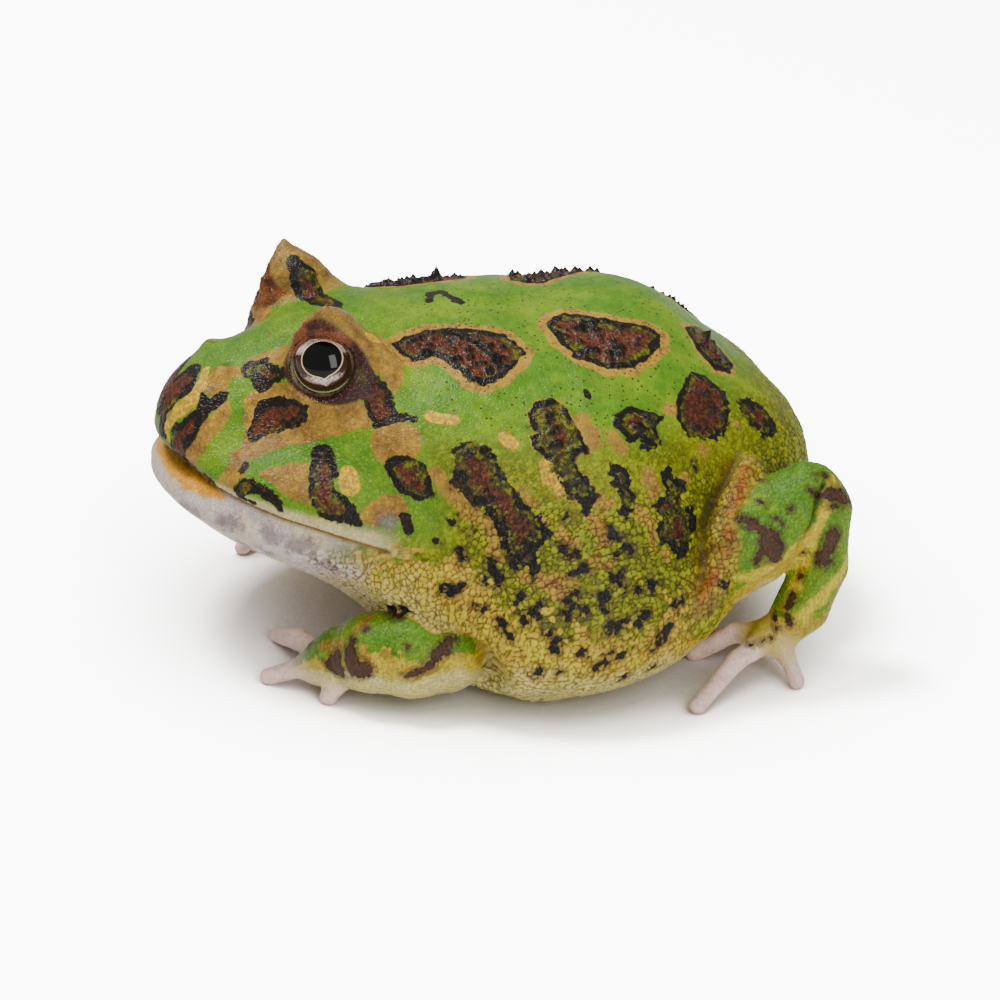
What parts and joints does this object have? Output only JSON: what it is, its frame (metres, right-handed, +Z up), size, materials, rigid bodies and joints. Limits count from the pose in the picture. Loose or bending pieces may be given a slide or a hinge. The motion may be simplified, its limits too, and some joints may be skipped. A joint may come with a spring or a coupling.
{
  "type": "cranwell's horned frog model",
  "caption": "Life-size model of a horned frog sitting at rest, with horned eyelids, a wide mouth, warty back and folded legs.",
  "frame": {"origin": "on the floor under the belly, on the frog's midline", "axes": "+Z up from the floor, the nose towards -X, the frog's left side towards -Y"},
  "size_m": [0.0913, 0.0868, 0.0518],
  "materials": {
    "torso_skin": "moist, pebbled green skin with dark patches",
    "head_skin": "moist green skin with tan and red-brown bands",
    "jaw_skin": "pale, finely grained skin",
    "lid_skin": "tan, grained skin",
    "limb_skin": "moist, smooth green skin with brown blotches",
    "finger_skin": "pale pink, smooth skin",
    "eye": "wet, glassy"
  },
  "bodies": {
    "root": {"torso": "torso_skin", "head": "head_skin", "lower_jaw": "jaw_skin", "eyelid_horn_left": "lid_skin", "eyelid_horn_right": "lid_skin", "eye_left": "eye", "eye_right": "eye", "upper_arm_left": "limb_skin", "upper_arm_right": "limb_skin", "forearm_left": "limb_skin", "forearm_right": "limb_skin", "hand_left": "finger_skin", "hand_right": "finger_skin", "thigh_left": "limb_skin", "thigh_right": "limb_skin", "shank_left": "limb_skin", "shank_right": "limb_skin", "foot_left": "finger_skin", "foot_right": "finger_skin"}
  },
  "joints": []
}
